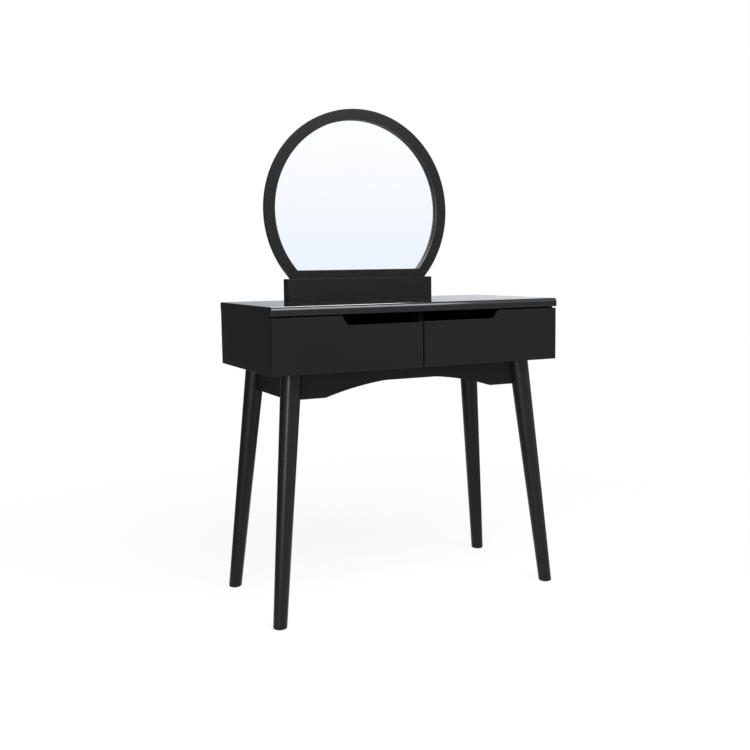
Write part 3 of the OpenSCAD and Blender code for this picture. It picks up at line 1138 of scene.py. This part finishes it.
@dataclass
class RoundMirror:
    """A round mirror with a flat foot: routed frame, silvered glass and its backing."""

    centre_z: float = 1022 * MM
    radius: float = 277.5 * MM
    band: float = 29.5 * MM
    recess: float = 11 * MM
    rebate: float = 8 * MM
    opening_z: float = 859 * MM
    edge: float = 1.2 * MM
    silver_depth: float = 1.6 * MM
    tongue_half: float = 168 * MM
    clip_reach: float = 269 * MM
    clip_ease: float = 0.3 * MM
    arc_steps: int = 168
    chord_steps: int = 14
    pieces: list[bpy.types.Object] = field(default_factory=list)

    def outline(self, radius: float, chord_z: float) -> list[tuple[float, float]]:
        """Outline of a circle cut off flat below.

        Args:
            radius: Radius of the circle.
            chord_z: Height of the flat.

        Returns:
            Points in order, the same number for any size.
        """
        start = math.degrees(math.asin((chord_z - self.centre_z) / radius))
        points = arc((0.0, self.centre_z), radius, start, 180.0 - start, self.arc_steps)
        half = points[0][0]
        for k in range(1, self.chord_steps):
            points.append((-half + 2 * half * k / self.chord_steps, chord_z))
        return points

    def loop(self, radius: float, chord_z: float, y: float) -> Ring:
        """One loop of the frame's section, carried round the whole frame.

        Args:
            radius: Radius of the loop.
            chord_z: Height of its flat.
            y: Depth.

        Returns:
            The loop's points.
        """
        return [Vector((x, y, z)) for x, z in self.outline(radius, chord_z)]

    def wooden_frame(self) -> None:
        """Sweep the frame's section: eased face, deep inner wall, rebate and back."""
        low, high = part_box("mirror_frame")
        front, back = low.y, high.y
        outer, inner = self.radius, self.radius - self.band
        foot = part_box("base_front_board")[1].z
        step = front + self.recess
        pocket, pocket_z = inner + self.rebate, self.opening_z - self.rebate
        loops = []
        for k in range(5):
            a = math.pi / 2 * k / 4
            cut, depth = self.edge * (1 - math.cos(a)), self.edge * (1 - math.sin(a))
            loops.append(self.loop(outer - cut, foot + cut, front + depth))
        for k in range(5):
            a = math.pi / 2 * k / 4
            cut, depth = self.edge * (1 - math.sin(a)), self.edge * (1 - math.cos(a))
            loops.append(self.loop(inner + cut, self.opening_z - cut, front + depth))
        loops.append(self.loop(inner, self.opening_z, step - 0.3 * MM))
        loops.append(self.loop(inner + 0.3 * MM, self.opening_z - 0.3 * MM, step))
        loops.append(self.loop(pocket, pocket_z, step))
        loops.append(self.loop(pocket, pocket_z, back))
        loops.append(self.loop(outer - self.edge, foot + self.edge, back))
        loops.append(self.loop(outer, foot, back - self.edge))
        bm = bmesh.new()
        bridge(bm, loops, capped=False, closed=True)
        half, top = self.tongue_half, foot + 1 * MM
        eased_plate(
            bm,
            [(-half, low.z), (half, low.z), (half, top), (-half, top)],
            Axis.Y,
            front + 4.1 * MM,
            front + 11.9 * MM,
            0.4 * MM,
        )
        self.pieces.append(
            finished_piece(
                "routed_mirror_frame",
                bm,
                FRAME_SATIN,
                "table",
                ["mirror_frame"],
                40.0,
            )
        )

    def disc(
        self,
        node: str,
        name: str,
        finish: Finish,
        edge: float,
        sunk: float = 0.0,
    ) -> None:
        """Cut a flat sheet to the rebate's outline.

        Args:
            node: CAD node that the sheet stands for.
            name: Piece name.
            finish: Surface finish.
            edge: Width of its ground edge.
            sunk: How far behind the sheet's clear front its own face shows.
        """
        low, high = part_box(node)
        radius = high.z - self.centre_z
        front = low.y + sunk
        bm = bmesh.new()
        eased_plate(bm, self.outline(radius, low.z), Axis.Y, front, high.y, edge, 2)
        self.pieces.append(finished_piece(name, bm, finish, "table", [node], 25.0))

    def clip_layer(
        self, bm: bmesh.types.BMesh, tip: Vector, length: float, half: float, rise: float
    ) -> None:
        """Add one pressed layer of a clip, rounded at its outer end.

        Args:
            bm: Mesh that gets the layer.
            tip: Middle of the layer's outer end, on the frame's back.
            length: Length toward the mirror's centre.
            half: Half of its width.
            rise: How far it stands off the back.
        """
        inward = Vector((-tip.x, 0.0, self.centre_z - tip.z)).normalized()
        across = Vector((-inward.z, 0.0, inward.x))
        rings = []
        for depth, cut in ((0.0, 0.0), (rise * 0.7, 0.0), (rise, self.clip_ease)):
            near, far, side = cut, length - cut, half - cut
            outline = rounded_outline(
                [
                    (near, -side, 0.8 * side),
                    (far, -side, 0.4 * MM),
                    (far, side, 0.4 * MM),
                    (near, side, 0.8 * side),
                ],
                6,
            )
            lift = tip + Vector((0.0, depth, 0.0))
            rings.append([lift + inward * u + across * v for u, v in outline])
        bridge(bm, rings, capped=True, closed=False)

    def clips(self) -> None:
        """Press the backing clips: a rounded tongue with a raised bead."""
        bm = bmesh.new()
        for low, high in islands("backing_clips"):
            middle = (low + high) / 2
            outward = Vector((middle.x, 0.0, middle.z - self.centre_z)).normalized()
            base = Vector((0.0, low.y, self.centre_z))
            tip = base + outward * self.clip_reach
            self.clip_layer(bm, tip, 20 * MM, 6 * MM, 1 * MM)
            bead = base + outward * (self.clip_reach - 12.5 * MM)
            self.clip_layer(bm, bead, 7 * MM, 3.2 * MM, 1.35 * MM)
        self.pieces.append(
            finished_piece("pressed_clips", bm, ZINC_PLATE, "table", ["backing_clips"])
        )

    def build(self) -> None:
        """Build the frame, the glass, the backing and what holds them."""
        self.wooden_frame()
        self.disc(
            "mirror_glass",
            "silvered_glass",
            MIRROR_SILVER,
            0.4 * MM,
            self.silver_depth,
        )
        self.disc("mirror_backing", "hardboard_back", HARDBOARD, 0.3 * MM)
        self.clips()


@dataclass
class MirrorBase:
    """The two boards and the spacer that hold the mirror's tongue on the top."""

    edge: float = 1.4 * MM
    pieces: list[bpy.types.Object] = field(default_factory=list)

    def build(self) -> None:
        """Build the boards, with painted shade on their faces inside the slot, and dress the
        screws.
        """
        inward = {
            "base_front_board": Vector((0.0, 1.0, 0.0)),
            "base_back_board": Vector((0.0, -1.0, 0.0)),
            "base_spacer": Vector((0.0, 0.0, 1.0)),
        }
        for node, edge in (
            ("base_front_board", self.edge),
            ("base_back_board", self.edge),
            ("base_spacer", 0.4 * MM),
        ):
            low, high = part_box(node)
            outline = rounded_outline(
                [
                    (low.y, low.z, 0.4 * MM),
                    (high.y, low.z, 0.4 * MM),
                    (high.y, high.z, edge),
                    (low.y, high.z, edge),
                ],
                4,
            )
            bm = bmesh.new()
            eased_plate(bm, outline, Axis.X, low.x, high.x, edge)
            board = finished_piece(
                f"{node}_eased", bm, FRAME_SATIN, "table", [node]
            )
            # Faces inside the slot get painted shade: the near-black dull finish, where the slot
            # lies in shadow.
            board.data.materials.append(PAINTED_SHADE_BLACK.material())
            for face in board.data.polygons:
                if inward[node].dot(face.normal) > 0.9:
                    face.material_index = 1
            self.pieces.append(board)
        self.pieces.append(dress_node("base_screws", ZINC_PLATE, 0.15))


@dataclass
class CrossScrews:
    """Pan-head screws with a cross recess, wherever a CAD node has a row of them."""

    node: str
    facing: tuple[float, float, float]
    body: str
    head_height: float = 1.8 * MM
    shank: float = 1.6 * MM

    def build(self) -> bpy.types.Object:
        """Build the row of screws.

        Returns:
            The new piece.
        """
        facing = Vector(self.facing)
        main = max(range(3), key=lambda i: abs(facing[i]))
        others = [i for i in range(3) if i != main]
        bm = bmesh.new()
        for low, high in islands(self.node):
            top = (low + high) / 2
            top[main] = high[main] if facing[main] > 0 else low[main]
            radius = min(high[i] - low[i] for i in others) / 2
            length = high[main] - low[main]
            cross_head(
                bm,
                top,
                facing,
                radius,
                min(self.head_height, length * 0.4),
                length,
                min(self.shank, radius * 0.5),
            )
        return finished_piece(
            f"{self.node}_crosshead", bm, ZINC_PLATE, self.body, [self.node]
        )


@dataclass
class DrawerRollers:
    """Acetal wheels on steel rivets; each node holds the pair of one side."""

    node: str
    body: str
    rim: float = 0.7 * MM
    rivet: float = 2.6 * MM

    def build(self) -> list[bpy.types.Object]:
        """Turn the wheels with a rounded tread, a dished side and a riveted hub.

        Returns:
            The wheels and their hub caps.
        """
        wheels, caps = bmesh.new(), bmesh.new()
        for low, high in islands(self.node):
            radius = (high.z - low.z) / 2
            wide = high.x - low.x
            start = Vector((low.x, (low.y + high.y) / 2, (low.z + high.z) / 2))
            tread = [
                (0.0, self.rivet + 0.4 * MM),
                (0.0, radius * 0.55),
                (wide * 0.10, radius * 0.62),
                (wide * 0.10, radius * 0.80),
                (0.0, radius * 0.86),
                (0.0, radius - self.rim),
                (self.rim * 0.3, radius - self.rim * 0.3),
                (self.rim, radius),
                (wide - self.rim, radius),
                (wide - self.rim * 0.3, radius - self.rim * 0.3),
                (wide, radius - self.rim),
                (wide, radius * 0.86),
                (wide * 0.90, radius * 0.80),
                (wide * 0.90, radius * 0.62),
                (wide, radius * 0.55),
                (wide, self.rivet + 0.4 * MM),
            ]
            lathe(wheels, tread, start, Vector((1, 0, 0)), 56, bored=True)
            cap = [
                (wide * 0.06, self.rivet + 0.35 * MM),
                (wide * 0.94, self.rivet + 0.35 * MM),
                (wide * 0.99, self.rivet * 0.6),
            ]
            lathe(caps, cap, start, Vector((1, 0, 0)), 28)
        return [
            finished_piece(
                f"{self.node}_wheels", wheels, WHITE_ACETAL, self.body, [self.node]
            ),
            finished_piece(f"{self.node}_hubs", caps, ZINC_PLATE, self.body, []),
        ]


@dataclass
class Drawer:
    """One drawer: a lacquered front with a finger cut-out, a melamine box and its runners."""

    side: Side
    cut_floor: float = 730.6 * MM
    cut_flat: float = 206 * MM
    cut_top: float = 220 * MM
    cut_radius: float = 5 * MM
    edge: float = 1.0 * MM
    pieces: list[bpy.types.Object] = field(default_factory=list)

    @property
    def body(self) -> str:
        """The CAD body that the drawer's pieces ride on."""
        return f"{self.side.word}_drawer"

    def front(self) -> None:
        """Build the drawer front, whose top edge drops to the shared finger cut-out."""
        node = f"{self.body}_front"
        low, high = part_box(node)
        near = min(abs(low.x), abs(high.x))
        far = max(abs(low.x), abs(high.x))
        way = self.side.value
        edge = self.edge
        corners = [
            (near, low.z, edge),
            (far, low.z, edge),
            (far, high.z, edge),
            (self.cut_top, high.z, edge),
            (self.cut_flat, self.cut_floor, self.cut_radius),
            (near, self.cut_floor, edge),
        ]
        outline = rounded_outline([(way * x, z, r) for x, z, r in corners], 5)
        bm = bmesh.new()
        eased_plate(bm, outline, Axis.Y, low.y, high.y, edge, 4)
        self.pieces.append(
            finished_piece(
                f"{node}_lacquered", bm, CASE_SATIN, self.body, [node], 50.0
            )
        )

    def box_board(self, part: str, axis: Axis, finish: Finish) -> None:
        """Rebuild one board of the drawer box with banded, eased edges.

        Args:
            part: Name of the board within the drawer.
            axis: Direction of its thickness.
            finish: Surface finish.
        """
        node = f"{self.body}_{part}"
        low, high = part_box(node)
        u, v = [i for i in range(3) if i != axis.value]
        outline = rounded_outline(
            [
                (low[u], low[v], 0.6 * MM),
                (high[u], low[v], 0.6 * MM),
                (high[u], high[v], 0.6 * MM),
                (low[u], high[v], 0.6 * MM),
            ],
            3,
        )
        bm = bmesh.new()
        eased_plate(bm, outline, axis, low[axis.value], high[axis.value], 0.5 * MM, 2)
        self.pieces.append(
            finished_piece(f"{node}_board", bm, finish, self.body, [node])
        )

    def build(self) -> None:
        """Build the drawer and dress its fixings and runners."""
        self.front()
        self.box_board("outer_side", Axis.X, DARK_MELAMINE_DEEP)
        self.box_board("inner_side", Axis.X, DARK_MELAMINE_DEEP)
        self.box_board("back", Axis.Y, DARK_MELAMINE)
        self.box_board("bottom", Axis.Z, DARK_MELAMINE_DEEP)
        for part in ("outer_runner", "inner_runner"):
            self.pieces.append(dress_node(f"{self.body}_{part}", POWDER_COAT, 0.2))
        self.pieces.append(dress_node(f"{self.body}_dowels", PLANED_BEECH, 0.2))
        for part in ("screws", "runner_screws"):
            self.pieces.append(dress_node(f"{self.body}_{part}", ZINC_PLATE, 0.1))
        wheels = DrawerRollers(f"{self.body}_rollers", f"{self.body}_rollers")
        self.pieces.extend(wheels.build())


@dataclass
class RunnerBay:
    """The fixed runners of one bay and the wheels at their front."""

    side: Side
    pieces: list[bpy.types.Object] = field(default_factory=list)

    def build(self) -> None:
        """Dress the runners and build their wheels."""
        self.pieces.append(dress_node(f"{self.side.word}_bay_runners", POWDER_COAT, 0.2))
        wheels = DrawerRollers(
            f"{self.side.word}_bay_rollers", f"{self.side.word}_bay_rollers"
        )
        self.pieces.extend(wheels.build())


# --------------------------------------------------------------------------- studio


@dataclass(frozen=True)
class SoftBox:
    """A soft rectangular studio lamp."""

    name: str
    place: tuple[float, float, float]
    aim: tuple[float, float, float]
    size: tuple[float, float]
    watts: float

    def build(self) -> bpy.types.Object:
        """Hang the lamp.

        Returns:
            The lamp object.
        """
        data = bpy.data.lights.new(self.name, "AREA")
        data.shape = "RECTANGLE"
        data.size, data.size_y = self.size
        data.energy = self.watts
        lamp = bpy.data.objects.new(self.name, data)
        lamp.location = self.place
        way = Vector(self.aim) - Vector(self.place)
        lamp.rotation_euler = way.to_track_quat("-Z", "Y").to_euler()
        bpy.context.scene.collection.objects.link(lamp)
        return lamp


@dataclass
class Studio:
    """White sweep, soft boxes and the camera."""

    eye: tuple[float, float, float] = (-1.15938, -2.32924, 0.87551)
    yaw: float = 0.447470
    pitch: float = -0.113873
    roll: float = -0.013530
    lens_mm: float = 46.868
    fill: float = 0.5
    floor_half: float = 14.0
    horizon: str = "#eef5fe"
    flag: str = "#6e6e6e"
    lamps: tuple[SoftBox, ...] = (
        SoftBox("overhead_softbox", (0.0, -1.5, 2.5), (0.0, -0.2, 0.7), (2.8, 1.6), 110.0),
        SoftBox("front_left_strip", (-3.3, -3.0, 1.2), (0.0, 0.0, 0.5), (0.9, 2.0), 105.0),
    )

    def seen(self, tree: bpy.types.NodeTree) -> bpy.types.Node:
        """Say which rays see the white backdrop itself.

        Args:
            tree: Node tree of the world or the floor.

        Returns:
            A node that is one for camera, glossy and transmission rays.
        """
        path = add_node(tree, "ShaderNodeLightPath")
        direct = add_node(
            tree,
            "ShaderNodeMath",
            {0: path.outputs["Is Camera Ray"], 1: path.outputs["Is Glossy Ray"]},
            operation="MAXIMUM",
        )
        return add_node(
            tree,
            "ShaderNodeMath",
            {0: direct, 1: path.outputs["Is Transmission Ray"]},
            operation="MAXIMUM",
        )

    def world(self) -> None:
        """Light the room evenly, and show a white sweep that cools toward the horizon.

        Behind, above and to the left, a dark flag fades in, which only reflections see: it
        keeps the black sides and the start of the nose black.
        """
        world = bpy.data.worlds.new("white_studio")
        bpy.context.scene.world = world
        world.use_nodes = True
        tree = world.node_tree
        tree.nodes.clear()
        path = add_node(tree, "ShaderNodeLightPath")
        way = add_node(tree, "ShaderNodeTexCoord").outputs["Generated"]
        facing = add_node(tree, "ShaderNodeSeparateXYZ", {0: way})
        rise = add_node(
            tree,
            "ShaderNodeMapRange",
            {"Value": facing.outputs["Z"], "From Min": -0.01, "From Max": 0.13},
        )
        sweep = add_node(
            tree,
            "ShaderNodeMix",
            {0: rise, 6: linear(self.horizon), 7: linear("#ffffff")},
            data_type="RGBA",
        ).outputs[2]
        across = add_node(
            tree,
            "ShaderNodeMapRange",
            {"Value": facing.outputs["X"], "From Min": 0.03, "From Max": 0.62},
        )
        low = add_node(
            tree,
            "ShaderNodeMapRange",
            {
                "Value": facing.outputs["Z"],
                "From Min": 0.1,
                "From Max": 0.35,
                "To Min": 1.0,
                "To Max": 0.0,
            },
        )
        open_part = add_node(
            tree, "ShaderNodeMath", {0: across, 1: low}, operation="MULTIPLY"
        )
        behind = add_node(
            tree,
            "ShaderNodeMapRange",
            {"Value": facing.outputs["Y"], "From Min": -0.15, "From Max": 0.15},
        )
        lit = add_node(
            tree, "ShaderNodeMix", {0: behind, 2: 1.0, 3: open_part}, data_type="FLOAT"
        )
        flagged = add_node(
            tree,
            "ShaderNodeMix",
            {0: lit, 6: linear(self.flag), 7: sweep},
            data_type="RGBA",
        ).outputs[2]
        shown = add_node(
            tree,
            "ShaderNodeMix",
            {0: path.outputs["Is Camera Ray"], 6: flagged, 7: linear("#ffffff")},
            data_type="RGBA",
        ).outputs[2]
        lighting = add_node(
            tree, "ShaderNodeBackground", {"Color": linear("#ffffff"), "Strength": self.fill}
        )
        backdrop = add_node(tree, "ShaderNodeBackground", {"Color": shown, "Strength": 1.0})
        both = add_node(
            tree, "ShaderNodeMixShader", {0: self.seen(tree), 1: lighting, 2: backdrop}
        )
        add_node(tree, "ShaderNodeOutputWorld", {"Surface": both})

    def floor(self) -> None:
        """Lay the white floor, which keeps a faint soft shadow of the table.

        Beside and behind the table, reflections see a dark flag lying on it.
        """
        bm = bmesh.new()
        half = self.floor_half
        corners = ((-1, -1), (1, -1), (1, 1), (-1, 1))
        bm.faces.new([bm.verts.new((half * u, half * v, 0.0)) for u, v in corners])
        mesh = bpy.data.meshes.new("studio_floor")
        bm.to_mesh(mesh)
        bm.free()
        floor = bpy.data.objects.new("studio_floor", mesh)
        bpy.context.scene.collection.objects.link(floor)
        paint = bpy.data.materials.new("white_painted_floor")
        paint.use_nodes = True
        tree = paint.node_tree
        tree.nodes.clear()
        matt = add_node(
            tree,
            "ShaderNodeBsdfDiffuse",
            {"Color": linear("#e9e9e9"), "Roughness": 0.0},
        )
        place = add_node(tree, "ShaderNodeTexCoord").outputs["Object"]
        spot = add_node(tree, "ShaderNodeSeparateXYZ", {0: place})
        out = add_node(
            tree, "ShaderNodeMath", {0: spot.outputs["X"]}, operation="ABSOLUTE"
        )
        beside = add_node(
            tree,
            "ShaderNodeMapRange",
            {"Value": out, "From Min": 0.42, "From Max": 0.8},
        )
        rear = add_node(
            tree,
            "ShaderNodeMapRange",
            {"Value": spot.outputs["Y"], "From Min": -0.6, "From Max": 0.1},
        )
        flag = add_node(
            tree, "ShaderNodeMath", {0: beside, 1: rear}, operation="MULTIPLY"
        )
        path = add_node(tree, "ShaderNodeLightPath")
        flagged = add_node(
            tree,
            "ShaderNodeMath",
            {0: flag, 1: path.outputs["Is Glossy Ray"]},
            operation="MULTIPLY",
        )
        shade = add_node(
            tree,
            "ShaderNodeMix",
            {0: flagged, 6: linear("#ffffff"), 7: linear(self.flag)},
            data_type="RGBA",
        ).outputs[2]
        glow = add_node(tree, "ShaderNodeEmission", {"Color": shade, "Strength": 1.0})
        away = add_node(tree, "ShaderNodeVectorMath", {0: place}, operation="LENGTH")
        fade = add_node(
            tree,
            "ShaderNodeMapRange",
            {
                "Value": away.outputs["Value"],
                "From Min": 0.5,
                "From Max": 1.9,
                "To Min": 0.86,
                "To Max": 1.0,
            },
        )
        pale = add_node(tree, "ShaderNodeMixShader", {0: fade, 1: matt, 2: glow})
        both = add_node(
            tree, "ShaderNodeMixShader", {0: self.seen(tree), 1: matt, 2: pale}
        )
        add_node(tree, "ShaderNodeOutputMaterial", {"Surface": both})
        mesh.materials.append(paint)

    def camera(self) -> None:
        """Set the camera at its measured place and angle."""
        data = bpy.data.cameras.new("studio_camera")
        data.lens = self.lens_mm
        data.sensor_width = 36.0
        data.clip_end = 100.0
        ahead = Vector(
            (
                math.sin(self.yaw) * math.cos(self.pitch),
                math.cos(self.yaw) * math.cos(self.pitch),
                math.sin(self.pitch),
            )
        )
        level = Vector((math.cos(self.yaw), -math.sin(self.yaw), 0.0))
        upright = level.cross(ahead)
        right = level * math.cos(self.roll) + upright * math.sin(self.roll)
        up = upright * math.cos(self.roll) - level * math.sin(self.roll)
        turn = Matrix((right, up, -ahead)).transposed().to_4x4()
        camera = bpy.data.objects.new("studio_camera", data)
        camera.matrix_world = Matrix.Translation(Vector(self.eye)) @ turn
        bpy.context.scene.collection.objects.link(camera)
        bpy.context.scene.camera = camera

    def build(self) -> None:
        """Set up the whole studio."""
        self.camera()
        self.world()
        self.floor()
        for lamp in self.lamps:
            lamp.build()
        bpy.context.scene.view_settings.view_transform = "Standard"


def write_sizes() -> None:
    """Update the view layer."""
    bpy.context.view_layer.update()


def main() -> None:
    """Build every sub-assembly in order, then the studio."""
    logging.basicConfig(level=logging.INFO, format="%(name)s: %(message)s")
    parts = [BoardCase(), ApronFrame(), TurnedLegs(), MirrorBase(), RoundMirror()]
    parts += [RunnerBay(side) for side in Side]
    parts += [Drawer(side) for side in Side]
    for part in parts:
        part.build()
        for piece in part.pieces:
            LOG.info("%s: %s", type(part).__name__, piece.name)
    screws = [
        CrossScrews("mirror_screws", (0, 1, 0), "table"),
        CrossScrews("clip_screws", (0, 1, 0), "table", 1.2 * MM, 1.2 * MM),
    ]
    for row in screws:
        LOG.info("CrossScrews: %s", row.build().name)
    LOG.info("runner screws: %s", dress_node("bay_runner_screws", ZINC_PLATE, 0.1).name)
    Studio().build()
    write_sizes()


if __name__ == "__main__":
    main()
